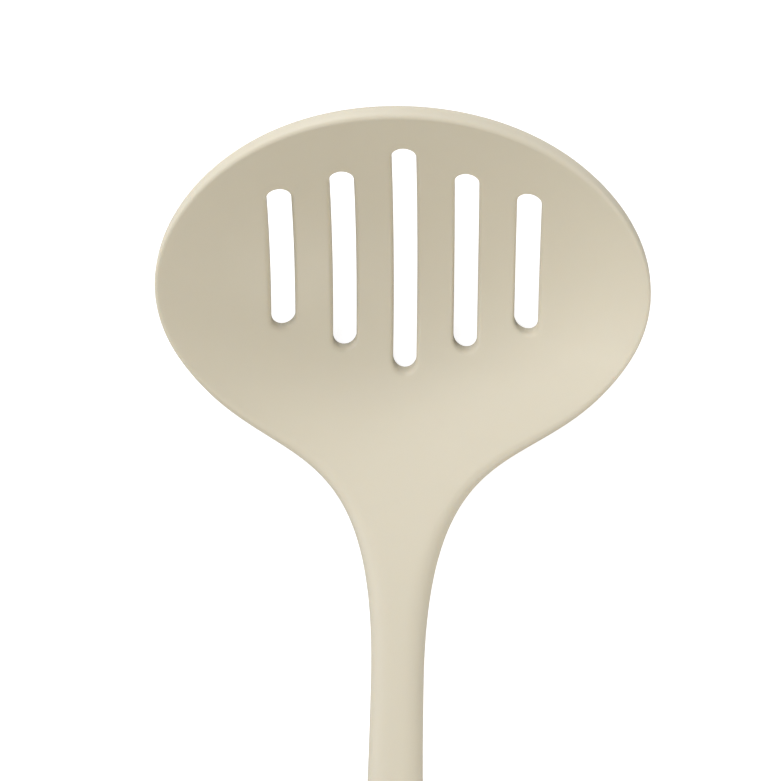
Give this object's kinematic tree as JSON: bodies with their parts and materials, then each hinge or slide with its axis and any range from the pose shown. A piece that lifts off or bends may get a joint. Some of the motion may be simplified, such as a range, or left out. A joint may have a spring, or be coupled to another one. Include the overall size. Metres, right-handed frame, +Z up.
{
  "type": "slotted skimmer",
  "caption": "Kitchen skimmer with an oval slotted bowl, slim neck and arched handle, in cream silicone moulded over a nylon insert and a steel strip.",
  "frame": {"origin": "on the worktop that the skimmer lies on, under the middle of its length", "axes": "+Y along the tool towards the tip of the head, +Z up out of the bowl, X across it"},
  "size_m": [0.11, 0.335, 0.044],
  "materials": {
    "silicone": "matte",
    "nylon": "matte",
    "steel": "brushed"
  },
  "bodies": {
    "root": {"silicone_skin": "silicone", "head_insert": "nylon", "handle_strip": "steel"}
  },
  "joints": []
}
